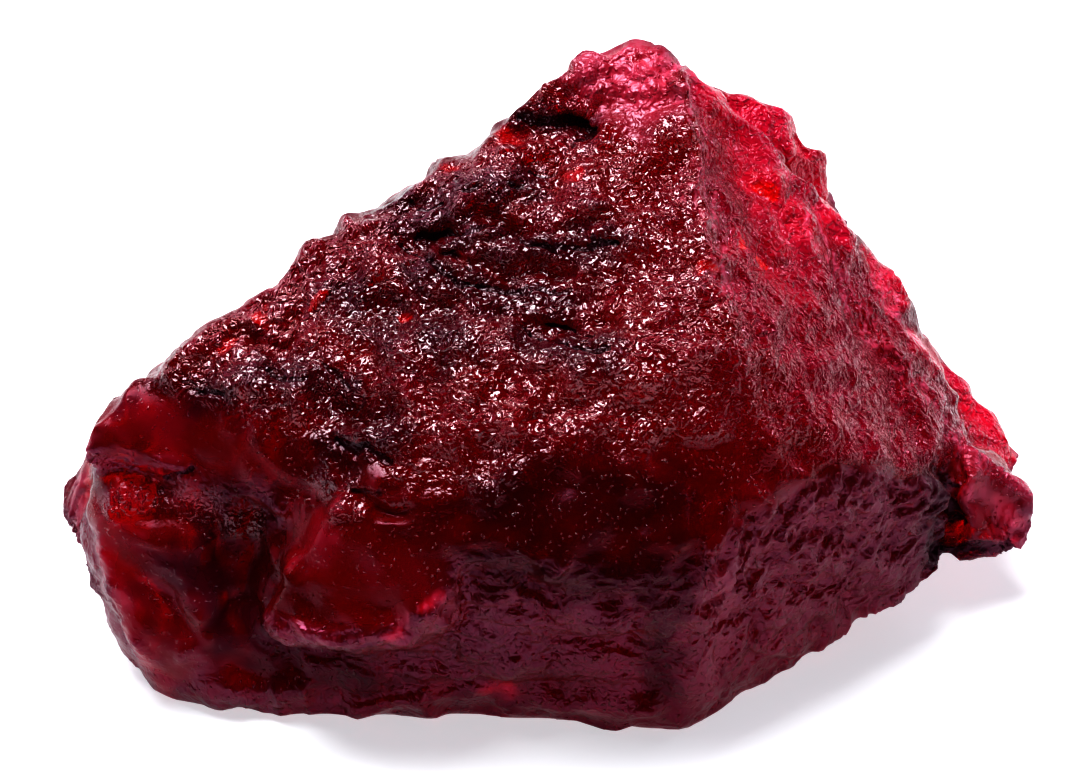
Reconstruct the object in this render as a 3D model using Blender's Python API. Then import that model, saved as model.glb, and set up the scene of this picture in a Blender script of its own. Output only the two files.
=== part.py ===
"""Raw ruby crystal: one rough, broken piece of red corundum lying on its flattest side.

The stone is one solid. It is built the way such a piece breaks: a few blocks bounded by nearly
flat breaks are fused, their edges are worn round, ledges, pits and cracks are pressed into the
faces, a rough skin is raised, and the side that it lies on is cut flat.

Lengths in the tables are millimetres. +X runs along the stone, +Y to its back, +Z up.
"""
import math

import bmesh
import bpy
import numpy as np
from mathutils import Matrix, Vector, noise
from mathutils.bvhtree import BVHTree

# Driving dimensions, in millimetres.
LENGTH = 50.4
DEPTH = 30.6
HEIGHT = 26.8
SUNK = -0.8  # height of the rough underside, below the plane that it is cut flat on
EDGE_WEAR = 2  # rounds of smoothing that wear the block edges
VOXEL = 0.38  # grain of the fused stone before it is thinned out
FACES = 10200  # triangles that are left in the finished stone

MM = 0.001
SEED = Vector((3.7, 11.3, 5.9))

# Corners of the blocks that the stone breaks into, as (x, y, z).
BODY = (
    # the long crest, from the low left end up to the peak
    (-22.0, -7.5, 14.9), (-17.2, -4.9, 17.9), (-12.5, -1.6, 20.3), (-7.4, 1.5, 22.0),
    (-5.1, 3.0, 22.5),
    (-1.2, 5.6, 24.8), (1.8, 7.0, 26.3), (5.0, 8.0, 27.1), (7.1, 7.5, 26.3),
    # the ridge that falls from the peak to the right
    (7.6, 1.8, 24.5), (8.1, -3.8, 22.3), (9.7, -8.0, 20.2),
    # the brow between the sloping top and the steep front
    (-17.1, -8.5, 15.7), (-14.5, -10.3, 15.4), (-7.9, -11.6, 16.2), (-3.0, -12.3, 17.3),
    (1.0, -12.3, 17.8), (4.9, -12.1, 17.6), (7.9, -11.6, 17.0), (11.4, -10.8, 16.2),
    (15.2, -8.8, 14.4),
    # the bulge halfway down the front
    (-4.9, -15.8, 11.8), (-1.0, -16.0, 13.0), (3.0, -16.0, 13.3), (7.2, -15.6, 12.7),
    # the upright edge at the near corner, and the arched edge of the right front
    (7.9, -16.0, 6.7), (8.3, -15.9, 10.4), (10.0, -14.6, 12.4), (13.3, -12.1, 12.5),
    (17.2, -9.0, 11.0), (20.6, -5.4, 9.5),
    # the lower edge of the front and of the right front
    (7.2, -15.0, SUNK), (4.6, -12.9, SUNK), (-1.0, -11.6, SUNK), (-13.9, -13.5, SUNK),
    (-18.6, -12.7, -0.6), (10.2, -12.2, 0.6), (15.3, -9.6, 1.5), (18.3, -7.7, 1.9),
    (20.8, -5.5, 3.0),
    # the right end
    (16.7, 4.0, 17.3), (18.2, 5.0, 14.8), (19.4, 5.4, 12.2), (19.5, 3.5, 13.6), (21.2, 1.5, 10.1), (22.6, 0.0, 7.6),
    (22.8, 1.0, 3.6),
    # the back and the underside
    (-20.5, -2.0, 8.0), (-18.5, -1.5, SUNK), (-12.0, 4.5, 12.0), (-11.0, 6.0, SUNK),
    (-3.0, 9.5, 15.0), (-2.5, 11.2, SUNK), (6.0, 12.2, 14.0), (6.5, 13.6, SUNK),
    (14.5, 11.0, 9.0), (15.0, 11.2, 0.6), (19.5, 6.5, 2.0), (4.2, 9.6, 24.6),
)
UPPER_LEFT_LOBE = (
    (-22.8, -9.4, 15.0), (-22.8, -8.6, 14.2), (-22.8, -9.0, 12.0), (-18.2, -10.1, 12.2),
    (-14.4, -10.4, 12.8), (-14.7, -7.5, 15.4), (-19.7, -7.5, 15.6), (-17.4, -4.5, 17.2),
    (-21.6, -3.0, 12.0), (-16.0, -2.0, 12.0), (-20.0, -4.0, 9.0),
)
LOWER_LEFT_LOBE = (
    (-22.6, -9.0, 12.2), (-22.7, -10.6, 10.4), (-23.5, -8.0, 7.4), (-23.0, -8.8, 4.4),
    (-22.2, -9.8, 3.2), (-21.8, -11.0, 1.4), (-20.2, -12.1, -0.2), (-21.9, -12.0, 6.1),
    (-20.0, -13.3, 3.1), (-16.2, -13.6, 4.4), (-17.2, -12.3, 9.8), (-18.8, -12.9, -0.6),
    (-16.0, -13.5, -0.6), (-16.0, -8.0, 11.0), (-16.0, -6.0, 0.4), (-21.0, -4.0, 3.0),
    (-20.5, -4.0, 11.0),
)
LEFT_NUB = (
    (-22.8, -6.2, 10.0), (-24.2, -5.4, 8.2), (-25.1, -5.2, 6.6), (-24.2, -7.0, 5.2),
    (-22.6, -7.4, 9.0), (-21.4, -1.4, 9.8), (-22.4, -2.2, 6.0), (-19.0, -6.0, 8.0),
    (-19.5, 0.4, 8.0), (-22.4, -4.6, 2.8), (-21.6, -3.6, 11.4),
)
FRONT_PILLOW = (
    # its rim, which overhangs
    (-14.0, -15.8, 7.2), (-12.4, -16.8, 7.4), (-10.6, -17.3, 7.5), (-7.2, -17.3, 7.6),
    (-5.2, -16.9, 9.6),
    # its crown and sides
    (-4.6, -15.8, 11.8), (-7.4, -12.8, 15.6), (-10.4, -13.6, 14.0), (-12.7, -14.4, 10.8),
    (-5.8, -14.4, 14.6), (-8.9, -16.4, 10.8),
    # where it is rooted in the body
    (-13.2, -12.6, 3.6), (-8.0, -13.2, 3.4), (-12.0, -9.0, 9.0), (-5.0, -9.0, 9.0),
    (-3.4, -13.4, 13.6), (-4.4, -14.4, 6.4),
)
BACK_SLAB = (
    (7.4, 8.9, 23.9), (8.4, 9.1, 23.2), (11.0, 9.5, 22.7), (12.8, 9.5, 21.9), (15.3, 9.0, 18.9),
    (16.1, 8.5, 15.2), (8.0, 6.2, 22.4), (12.0, 6.4, 19.6), (15.0, 6.6, 15.6), (15.0, 7.0, 9.0),
    (6.5, 10.2, 20.0), (11.5, 10.8, 14.0), (6.0, 6.0, 14.0),
)
RIGHT_SLAB = (
    (20.0, 6.2, 9.4), (20.2, 5.8, 7.3), (21.7, 5.2, 5.1), (24.8, 4.2, 4.5), (26.1, 2.1, 4.3),
    (24.6, -0.6, 4.6), (22.0, 2.6, 6.6), (19.0, 4.0, 9.0), (22.5, 3.6, 1.8), (18.5, 7.6, 2.6),
    (24.0, 0.0, 2.4),
)
RIGHT_KNOB = (
    (21.6, -5.0, 2.8), (24.2, -5.0, 2.7), (25.0, -4.6, 3.6), (26.2, -3.7, 6.2),
    (24.5, -2.2, 7.0), (22.2, -4.6, 7.4), (22.8, -3.2, 8.4), (21.0, -2.0, 8.6),
    (22.0, 0.0, 6.4), (24.6, -0.8, 3.6), (21.0, -2.0, 3.0), (19.4, -4.6, 4.2),
    (23.6, 2.2, 4.4), (23.0, 1.6, 2.4),
)
BLOCKS = {
    "body": BODY,
    "upper_left_lobe": UPPER_LEFT_LOBE,
    "lower_left_lobe": LOWER_LEFT_LOBE,
    "left_nub": LEFT_NUB,
    "front_pillow": FRONT_PILLOW,
    "back_slab": BACK_SLAB,
    "right_slab": RIGHT_SLAB,
    "right_knob": RIGHT_KNOB,
}

# Marks pressed in (-) or raised (+) along a line through the points: reach, height, points.
# From above the points are (x, y), and from the front they are (x, z).
MARKS_FROM_ABOVE = (
    # gashes across the sloping top
    (0.9, -0.9, ((-1.2, 3.9), (0.2, 3.7), (1.6, 3.9), (2.7, 3.1))),
    (0.6, -0.4, ((-1.0, 1.6), (0.4, 1.4), (1.8, 1.6))),
    (0.8, -0.6, ((-5.8, -2.0), (-4.0, -1.4), (-2.6, -1.0), (-1.0, -1.9))),
    (0.7, -0.5, ((-1.0, -1.9), (1.2, -2.4), (3.8, -1.9))),
    (0.8, -0.5, ((-3.0, -3.8), (-1.6, -4.4), (-0.2, -4.2), (1.4, -4.5))),
    (0.9, -0.5, ((-2.4, -6.8), (0.2, -7.2), (2.0, -7.4), (3.4, -7.2))),
    (0.9, -0.6, ((-8.6, 0.2), (-7.2, 0.0), (-6.0, 0.5))),
    (1.0, -0.6, ((-15.4, -5.6), (-13.8, -6.4), (-12.4, -6.2))),
    (1.2, -0.8, ((-10.4, -9.4), (-9.2, -10.2), (-7.6, -10.4))),
    (1.6, -0.2, ((-16.0, -3.8), (-14.0, -2.6))),
    # the sag of the crest, and swells between the gashes
    (2.4, -0.5, ((-8.2, 0.9), (-5.0, 2.9), (-3.0, 4.2))),
    (1.1, 0.4, ((-11.7, -1.2), (-11.2, -0.9))),
    (2.4, 0.5, ((-8.0, -3.4), (-5.4, -4.2))),
    (2.2, 0.4, ((-2.4, 1.4), (-3.6, 0.6))),
    (2.6, 0.5, ((3.2, 0.6), (4.6, -3.0))),
    (2.4, 0.5, ((-7.6, -7.6), (-5.0, -8.4))),
    (2.2, 0.4, ((0.4, -9.4), (4.0, -9.8))),
    (2.0, 0.5, ((-14.8, -7.8), (-13.0, -8.8))),
    (2.0, 0.5, ((2.6, 6.0), (4.6, 5.2))),
    # the ridge, and the hollow on its right
    (1.4, 0.35, ((7.2, 5.5), (7.7, 2.0), (8.2, -2.0))),
    (2.6, -0.4, ((9.6, 5.0), (10.6, 1.5), (12.0, -2.0))),
    (2.2, 0.2, ((12.4, 3.4), (13.6, 1.0))),
    (2.0, 0.2, ((14.6, -1.0), (15.6, -4.4))),
    (1.8, -0.3, ((15.2, 2.0), (17.2, -1.0), (18.4, -3.2))),
    (1.8, 0.2, ((11.4, -5.0), (12.6, -7.0))),
)
MARKS_FROM_THE_FRONT = (
    # the left end: its shelf, and the recess beside the pillow
    (0.8, -0.5, ((-21.6, 12.4), (-20.0, 12.1), (-18.6, 12.3))),
    (1.0, 0.4, ((-21.6, 10.4), (-19.4, 10.0), (-17.8, 10.2))),
    (1.4, -0.8, ((-14.4, 11.2), (-14.8, 8.8), (-15.2, 6.4))),
    (1.5, 0.5, ((-21.0, 6.4), (-20.4, 4.6))),
    (1.4, -0.5, ((-19.0, 7.6), (-18.0, 5.6))),
    # below the pillow
    (1.6, -0.4, ((-13.0, 4.6), (-10.4, 4.8), (-7.4, 4.8))),
    (1.5, 0.5, ((-16.6, 1.8), (-14.2, 1.4), (-12.0, 1.8))),
    (1.2, 0.4, ((-9.0, 1.2), (-6.6, 1.6))),
    # on the pillow
    (1.3, 0.5, ((-10.8, 12.0), (-8.8, 12.6))),
    (0.8, -0.7, ((-9.0, 14.3), (-7.8, 13.9), (-6.6, 14.3))),
    (1.2, -0.4, ((-8.8, 9.6), (-6.8, 8.8))),
    # the front
    (1.8, 0.25, ((-2.4, 15.0), (-0.4, 15.4))),
    (1.6, -0.2, ((1.4, 15.2), (3.2, 14.6))),
    (1.5, 0.2, ((5.4, 14.8), (6.6, 14.2))),
    (1.4, -0.25, ((-3.6, 10.2), (-1.6, 11.0), (0.6, 10.6))),
    (1.6, 0.25, ((-2.0, 8.4), (0.8, 9.0), (3.4, 8.4))),
    (1.2, -0.5, ((0.6, 6.6), (3.4, 6.2), (5.6, 6.8))),
    (1.4, 0.45, ((-3.4, 5.6), (-0.4, 4.6))),
    (1.3, -0.4, ((-4.6, 3.0), (-1.0, 2.4), (2.2, 3.0))),
    (1.3, 0.4, ((2.6, 1.8), (5.2, 2.4))),
    (1.6, -0.4, ((-4.4, 0.5), (-1.0, 0.8), (2.4, 0.5))),
    (1.4, -0.4, ((10.5, 0.8), (13.5, 1.2))),
    # the right front
    (1.8, -0.6, ((10.6, 9.6), (12.4, 7.8), (13.4, 5.6))),
    (1.1, 0.5, ((9.4, 10.4), (9.6, 7.4), (9.0, 4.6))),
    (1.2, 0.4, ((14.6, 8.6), (15.2, 6.2), (14.4, 4.0))),
    (1.2, -0.4, ((16.8, 8.0), (17.0, 5.6))),
    (1.0, -0.4, ((11.2, 3.2), (12.2, 2.0))),
    # the cleft beside the knob
    (0.7, -1.3, ((22.0, 7.8), (21.6, 6.2), (21.8, 4.4))),
    (0.7, -0.6, ((23.0, 6.8), (24.0, 5.8), (24.4, 4.8))),
)
MARKS_FROM_BEHIND = (
    # two scoops left by shell-shaped breaks, and the shelves around them
    (5.0, -1.4, ((-9.0, 8.0), (-7.0, 9.5))),
    (3.6, -1.0, ((5.0, 9.0), (6.5, 7.0))),
    (1.2, 0.5, ((-14.5, 9.0), (-12.0, 13.0), (-7.5, 15.0), (-3.0, 14.0))),
    (1.2, -0.8, ((0.0, 17.5), (3.5, 18.5), (8.0, 17.5))),
    (1.4, 0.5, ((-1.5, 12.0), (1.0, 7.0), (0.5, 3.0))),
    (1.1, -0.8, ((-17.0, 5.0), (-13.5, 4.0), (-10.0, 4.6))),
    (1.2, -0.7, ((9.5, 4.0), (13.0, 4.6), (16.5, 3.6))),
    (1.4, 0.6, ((10.0, 13.0), (13.0, 11.0), (15.5, 8.0))),
    (1.0, -0.6, ((-5.0, 19.5), (-2.0, 20.5), (1.5, 21.6))),
    (1.4, 0.5, ((3.0, 22.0), (6.0, 21.0))),
)

# Breaks that left a nearly flat face with a sharp edge: a point on the face, the way it looks
# out, and how deep its middle is dished for each millimetre across.
BREAKS = (
    ((13.3, -11.2, 6.5), (0.62, -0.785, 0.0), 0.02),
)
BREAK_REACH = 9.6  # how far a break runs from its middle
BREAK_RIM_SLOPE = 2.0  # how steeply the stone stands out again past a break's reach

# The rough skin: size of its lumps, and how far they stand up or fall in.
ROUGHNESS = (
    (11.0, 0.5),
    (4.6, 0.3),
    (2.1, 0.2),
)
ROUND_SHARE = 1.2  # how much of a lump's height is round
RIDGED_SHARE = 0.5  # how much of it is sharp ridges
RIDGE_FINENESS = 1.3  # how much finer the ridges are than the lumps

# Angular lumps between chips: their size, how far they stand out of the valleys between them,
# how irregular they are, and how broad a valley is for their size.
CHIP_SIZE = 2.9
CHIP_DEPTH = 0.32
CHIP_WARP = 0.35
VALLEY_SHARE = 0.7
CHIP_MEAN = 0.6  # a lump's mean height for its whole height, which keeps the stone's size

# Where the skin is smoother: on faces steeper than these upward shares of their direction, and
# on the fresh faces, which are all but the weathered top behind the brow.
STEEP_FROM = 0.4
STEEP_FULL = 0.1
STEEP_SMOOTHNESS = 0.7
FRESH_SMOOTHNESS = 0.5
TOP_FACING = Vector((-0.16, -0.38, 0.91)).normalized()
TOP_FROM = 0.8  # agreement with the top's direction at which a face begins to count as top
TOP_FULL = 0.95
BROW = (1.0, -12.3, 0.0145)  # the brow's middle as x and y, and how fast it bows back

# Low ledges that cross the sloping top: their spacing, their height, how much of a ledge is its
# slow rise, how far its edge wanders, and the length and width of the patches they come in.
LEDGE_PITCH = 2.3
LEDGE_HEIGHT = 0.22
LEDGE_RISE_SHARE = 0.8
LEDGE_SKEW = 0.25
LEDGE_WANDER = 1.6
LEDGE_WANDER_SIZE = 4.0
PATCH_LENGTH = 4.2
PATCH_WIDTH = 2.4
PATCH_SEED = 7.0
PATCH_MEAN = 0.7
PATCH_CONTRAST = 3.4
PATCH_MOST = 1.6

WEAR_STEP = 0.6  # how far each round of wear moves a point to the middle of its neighbours
CUT_GAP = 0.02  # how near the cut a corner may be before it is moved onto it
SHORTEST_EDGE = 0.03


def hull_into(mesh, corners):
    """Add one block, the convex shape that its corners span, as a closed shell."""
    verts = [mesh.verts.new(corner) for corner in corners]
    made = bmesh.ops.convex_hull(mesh, input=verts)
    unused = [item for item in made["geom_interior"] if isinstance(item, bmesh.types.BMVert)]
    bmesh.ops.delete(mesh, geom=unused, context="VERTS")


def fused_blocks():
    """Return the stone as one object: all blocks, fused into a single skin of even grain."""
    mesh = bmesh.new()
    for corners in BLOCKS.values():
        hull_into(mesh, corners)
    data = bpy.data.meshes.new("ruby_crystal")
    mesh.to_mesh(data)
    mesh.free()
    stone = bpy.data.objects.new("ruby_crystal", data)
    bpy.context.scene.collection.objects.link(stone)
    remesh = stone.modifiers.new("fuse", "REMESH")
    remesh.mode = "VOXEL"
    remesh.voxel_size = VOXEL
    apply_modifiers(stone)
    return stone


def apply_modifiers(stone):
    """Make what the modifiers show the object's own mesh."""
    graph = bpy.context.evaluated_depsgraph_get()
    shown = bpy.data.meshes.new_from_object(stone.evaluated_get(graph))
    stone.modifiers.clear()
    stone.data = shown


def points_of(stone):
    """Return the stone's points as an array."""
    flat = np.empty(len(stone.data.vertices) * 3, dtype=np.float32)
    stone.data.vertices.foreach_get("co", flat)
    return flat.reshape(-1, 3).astype(float)


def normals_of(stone):
    """Return the stone's outward directions, one at each point."""
    flat = np.empty(len(stone.data.vertices) * 3, dtype=np.float32)
    stone.data.vertex_normals.foreach_get("vector", flat)
    return flat.reshape(-1, 3).astype(float)


def put_points(stone, points):
    """Move the stone's points to the places in the array."""
    stone.data.vertices.foreach_set("co", points.astype(np.float32).ravel())
    stone.data.update()


def wear(stone, rounds):
    """Move each point to the middle of its neighbours, a few times over."""
    flat = np.empty(len(stone.data.edges) * 2, dtype=np.int32)
    stone.data.edges.foreach_get("vertices", flat)
    ends = flat.reshape(-1, 2)
    points = points_of(stone)
    count = np.bincount(ends.ravel(), minlength=len(points))[:, None]
    for _ in range(rounds):
        total = np.zeros_like(points)
        np.add.at(total, ends[:, 0], points[ends[:, 1]])
        np.add.at(total, ends[:, 1], points[ends[:, 0]])
        points = (1.0 - WEAR_STEP) * points + WEAR_STEP * total / count
    put_points(stone, points)


def distance_to_line(points, line):
    """Return how far each point is from the nearest place on a line of straight runs."""
    nearest = np.full(len(points), np.inf)
    for start, end in zip(line, line[1:]):
        run = end - start
        along = np.clip((points - start) @ run / (run @ run), 0.0, 1.0)
        gap = np.linalg.norm(points - start - along[:, None] * run, axis=1)
        nearest = np.minimum(nearest, gap)
    return nearest


def press_marks(stone, marks, lift, look):
    """Press marks into the face that a look along the given direction meets first."""
    tree = BVHTree.FromPolygons(
        [vertex.co for vertex in stone.data.vertices],
        [tuple(face.vertices) for face in stone.data.polygons],
    )
    points = points_of(stone)
    shift = np.zeros(len(points))
    for reach, height, flat_line in marks:
        line = []
        for flat_point in flat_line:
            hit = tree.ray_cast(lift(flat_point), look)[0]
            if hit:
                line.append(np.array(hit))
        falloff = np.clip(1.0 - distance_to_line(points, line) / reach, 0.0, 1.0)
        shift += height * falloff * falloff * (3.0 - 2.0 * falloff)
    put_points(stone, points + shift[:, None] * normals_of(stone))


def break_faces(stone):
    """Flatten what stands out past each break, which leaves a sharp edge around it."""
    points = points_of(stone)
    for place, outward, dish in BREAKS:
        outward = np.array(Vector(outward).normalized())
        away = points - np.array(place)
        height = away @ outward
        across = np.linalg.norm(away - height[:, None] * outward, axis=1)
        floor = dish * across * across / BREAK_REACH
        floor += BREAK_RIM_SLOPE * np.maximum(across - BREAK_REACH, 0.0)
        past = np.maximum(height - floor, 0.0)
        points -= past[:, None] * outward
    put_points(stone, points)


def share_between(value, low, high):
    """Return how far a value has come from low to high, from 0 to 1."""
    return min(max((value - low) / (high - low), 0.0), 1.0)


def roughen(stone):
    """Raise the rough skin: broad swells and lumps, then angular chips, then low ledges."""
    points = points_of(stone)
    normals = normals_of(stone)
    shift = np.zeros(len(points))
    for index, (point, normal) in enumerate(zip(points, normals)):
        place = Vector(point)
        steep = share_between(normal[2], STEEP_FROM, STEEP_FULL)
        on_top = share_between(Vector(normal) @ TOP_FACING, TOP_FROM, TOP_FULL)
        on_top *= share_between(past_brow(place), 1.0, 0.0)
        fresh = FRESH_SMOOTHNESS * (1.0 - on_top)
        rise = lumps(place) + (1.0 - STEEP_SMOOTHNESS * steep) * chips(place)
        shift[index] = (1.0 - fresh) * rise
        if on_top:
            shift[index] += on_top * ledges(place)
    put_points(stone, points + shift[:, None] * normals)


def past_brow(place):
    """Return how far a place is in front of the brow, which bows out in the middle."""
    middle_x, middle_y, bow = BROW
    return middle_y + bow * (place.x - middle_x) ** 2 - place.y


def lumps(place):
    """Return how far the skin swells at a place."""
    rise = 0.0
    for size, height in ROUGHNESS:
        spot = place / size + SEED
        ridge = 0.5 - abs(noise.noise(spot * RIDGE_FINENESS + SEED))
        rise += height * (ROUND_SHARE * noise.noise(spot) + 2.0 * RIDGED_SHARE * ridge
                          - RIDGED_SHARE / 2.0)
    return rise


def chips(place):
    """Return the rise of the chipped lumps, which meet each other in narrow valleys."""
    bend = Vector([noise.noise(place / CHIP_SIZE + way * SEED) for way in (1, 3, 6)])
    spot = place / CHIP_SIZE + SEED + CHIP_WARP * bend
    near, next_near = noise.voronoi(spot)[0][:2]
    return CHIP_DEPTH * (share_between(next_near - near, 0.0, VALLEY_SHARE) - CHIP_MEAN)


def ledges(place):
    """Return the rise of the ledges, which step down along the slope and come and go."""
    down = LEDGE_SKEW * place.x - place.y
    down += LEDGE_WANDER * noise.noise(place / LEDGE_WANDER_SIZE + SEED)
    step = (down / LEDGE_PITCH) % 1.0
    shape = min(step / LEDGE_RISE_SHARE, (1.0 - step) / (1.0 - LEDGE_RISE_SHARE))
    spot = Vector((place.x / PATCH_LENGTH, place.y / PATCH_WIDTH, PATCH_SEED))
    patch = PATCH_MEAN + PATCH_CONTRAST * noise.noise(spot)
    return LEDGE_HEIGHT * min(max(patch, 0.0), PATCH_MOST) * (shape - 0.5)


def thin_out(stone, faces):
    """Keep about as many triangles as asked, small ones where the skin turns sharply."""
    triangles = sum(len(face.vertices) - 2 for face in stone.data.polygons)
    thin = stone.modifiers.new("thin_out", "DECIMATE")
    thin.ratio = faces / triangles
    thin.use_collapse_triangulate = True
    apply_modifiers(stone)


def cut_base(stone):
    """Cut the underside off flat at z = 0, and close the cut."""
    mesh = bmesh.new()
    mesh.from_mesh(stone.data)
    everything = mesh.verts[:] + mesh.edges[:] + mesh.faces[:]
    cut = bmesh.ops.bisect_plane(
        mesh, geom=everything, dist=CUT_GAP, plane_co=(0, 0, 0), plane_no=(0, 0, -1),
        clear_outer=True,
    )
    rim = [item for item in cut["geom_cut"] if isinstance(item, bmesh.types.BMEdge)]
    bmesh.ops.holes_fill(mesh, edges=rim, sides=0)
    bmesh.ops.dissolve_degenerate(mesh, dist=SHORTEST_EDGE, edges=mesh.edges[:])
    bmesh.ops.triangulate(mesh, faces=[face for face in mesh.faces if len(face.verts) > 3])
    bmesh.ops.recalc_face_normals(mesh, faces=mesh.faces[:])
    mesh.to_mesh(stone.data)
    mesh.free()


def fit_to_size(stone):
    """Scale the stone to its driving size, in metres, with its foot's middle at the origin."""
    points = points_of(stone)
    low, high = points.min(axis=0), points.max(axis=0)
    scale = np.array((LENGTH, DEPTH, HEIGHT)) / (high - low) * MM
    middle = (low + high) / 2.0
    middle[2] = low[2]
    put_points(stone, (points - middle) * scale)


def ruby_material():
    """Deep red corundum with a half-gloss broken skin."""
    material = bpy.data.materials.new("ruby")
    material.use_nodes = True
    shader = material.node_tree.nodes["Principled BSDF"]
    shader.inputs["Base Color"].default_value = (0.22, 0.004, 0.015, 1.0)
    shader.inputs["Roughness"].default_value = 0.3
    shader.inputs["Metallic"].default_value = 0.0
    return material


def main():
    """Build the stone."""
    for thing in list(bpy.data.objects):
        bpy.data.objects.remove(thing, do_unlink=True)
    stone = fused_blocks()
    wear(stone, EDGE_WEAR)
    press_marks(
        stone, MARKS_FROM_ABOVE,
        lambda mark: Vector((mark[0], mark[1], 2.0 * HEIGHT)), Vector((0.0, 0.0, -1.0)),
    )
    press_marks(
        stone, MARKS_FROM_THE_FRONT,
        lambda mark: Vector((mark[0], -2.0 * DEPTH, mark[1])), Vector((0.0, 1.0, 0.0)),
    )
    press_marks(
        stone, MARKS_FROM_BEHIND,
        lambda mark: Vector((mark[0], 2.0 * DEPTH, mark[1])), Vector((0.0, -1.0, 0.0)),
    )
    break_faces(stone)
    roughen(stone)
    thin_out(stone, FACES)
    cut_base(stone)
    fit_to_size(stone)
    stone.data.shade_flat()
    stone.data.materials.append(ruby_material())


main()
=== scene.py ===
"""Looks of the raw ruby crystal: its fine skin, its deep red see-through stone, light and camera.

The stone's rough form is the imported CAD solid. Here its skin gets the relief that is too fine for
that solid, and its marks, and the whole is shown in a plain studio. The numbers of the skin's
relief and of its marks are millimetres, pixels are those of the photograph's frame, and all else
is in metres. All noise here is the same in every run.
"""
import math

import bpy
import numpy as np
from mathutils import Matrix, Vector, noise
from mathutils.bvhtree import BVHTree


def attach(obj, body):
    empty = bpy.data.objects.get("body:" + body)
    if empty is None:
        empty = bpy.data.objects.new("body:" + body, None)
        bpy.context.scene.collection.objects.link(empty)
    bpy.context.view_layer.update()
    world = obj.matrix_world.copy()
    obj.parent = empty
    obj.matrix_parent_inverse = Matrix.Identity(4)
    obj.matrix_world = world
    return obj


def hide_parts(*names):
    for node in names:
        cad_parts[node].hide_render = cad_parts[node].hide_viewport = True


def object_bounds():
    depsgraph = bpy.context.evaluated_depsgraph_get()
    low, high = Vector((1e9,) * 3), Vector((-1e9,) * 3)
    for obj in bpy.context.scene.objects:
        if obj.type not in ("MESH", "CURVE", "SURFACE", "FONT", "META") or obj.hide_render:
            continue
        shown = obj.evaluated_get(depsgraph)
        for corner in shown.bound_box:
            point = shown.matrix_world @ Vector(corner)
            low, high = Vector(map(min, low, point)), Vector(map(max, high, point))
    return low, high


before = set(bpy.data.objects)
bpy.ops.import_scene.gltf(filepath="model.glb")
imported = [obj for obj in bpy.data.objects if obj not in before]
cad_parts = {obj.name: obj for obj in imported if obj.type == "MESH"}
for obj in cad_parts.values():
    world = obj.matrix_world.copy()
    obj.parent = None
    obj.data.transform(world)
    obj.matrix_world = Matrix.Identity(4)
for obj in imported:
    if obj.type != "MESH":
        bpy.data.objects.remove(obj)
CAD_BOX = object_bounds()

MM = 0.001
NODE = "ruby_crystal"

# The photograph's frame, and the camera that took it.
PHOTO_PX = (1080, 776)
CAMERA_ELEVATION = math.radians(38.0)
CAMERA_DISTANCE = 0.2286
PX_PER_MM = 19.26
CAMERA_TARGET = Vector((-0.54, 0.81, 11.15)) * MM
SENSOR_WIDTH_MM = 36.0
CLIP_START = 0.005
CLIP_END = 20.0

# The skin's mesh.
SKIN_VOXEL = 0.15 * MM
SKIN_SMOOTHING = 0.6
SKIN_ROUNDS = 7
SKIN_TRIANGLES = 194000
SEED = Vector((2.3, 7.1, 4.9))
OWN_SHARE = 0.3  # what a point keeps of its own value in one round of averaging
BROAD_ROUNDS = 120  # rounds of averaging that leave only the way that a whole face looks
BULGE_ROUNDS = 40
THIN_ROUNDS = 20
CALM_ROUNDS = 80

# The way that the weathered top and the right side look, and the brow that the top ends at: its
# middle as x and y in millimetres, and how fast it bows back.
TOP_FACING = np.array((-0.16, -0.38, 0.91))
SIDE_FACING = np.array((0.64, -0.24, 0.73))
BROW = (0.46, -10.5, 0.0145)

# Where each kind of skin begins, and from where on it is whole. The first six are parts of a
# direction, and the others are millimetres.
TOP_RANGE = (0.74, 0.90)
SIDE_RANGE = (0.80, 0.93)
LEVEL_RANGE = (0.10, 0.34)
FRONT_RANGE = (-0.2, 0.5)
BACK_RANGE = (0.0, 0.5)
RIGHT_RANGE = (0.30, 0.50)
BEHIND_BROW_RANGE = (-1.7, 0.3)
RIM_RANGE = (0.05, 0.22)
THICK_RANGE = (1.5, 6.5)
OFF_BASE_RANGE = (0.05, 0.7)

# How much one kind of skin takes part in, or takes away from, another.
GLITTER_AS_TOP = 0.8
RIPPLES_AT_BACK = 0.5
CRAGS_AT_BACK = 0.7
RIGHT_HAZE = 0.3
FLAT_IN_WINDOWS = 0.7
FLAT_WHERE_CALM = 0.8
STILL_WHERE_CALM = 0.5

# Directions about the inward one in which the stone's thickness is felt, and its limits.
TILTS = ((0.45, 0.0, 0.0), (-0.45, 0.0, 0.0), (0.0, 0.45, 0.0))
THICKNESS_START = 0.3 * MM
THICKNESS_LIMIT = 20.0

# Relief: the grain and the height of each kind.
BEND_GRAIN, BEND = 1.5, 0.5
BEND_WAYS = (2, 4, 7)
CRAG_GRAIN, CRAG_HEIGHT = 1.5, 0.22
LUMP_GRAIN, LUMP_HEIGHT = 0.8, 0.28
LUMP_LIMIT = 0.35  # noise beyond this makes no higher lump
RIPPLE_GRAIN, RIPPLE_HEIGHT = 1.3, 0.36
RIPPLE_GAP, RIPPLE_GAP_GAIN = 0.42, 0.5  # on the front, and how much more on the right front
RIPPLE_LIMIT = 0.4
FINE_RIPPLES, FINE_RIPPLE_HEIGHT = 2.1, 0.20
CLIMB = 0.4  # slope of the ripples on the right front
ALONG_X, ALONG_Y = 0.78, 0.62  # the way along the right front
EVERYWHERE = 0.15  # share of the crags and lumps that all skin has
LUMPS_ON_SIDE, LUMPS_ON_STEEP, LUMPS_IN_HAZE = 0.8, 0.2, 1.1
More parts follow.
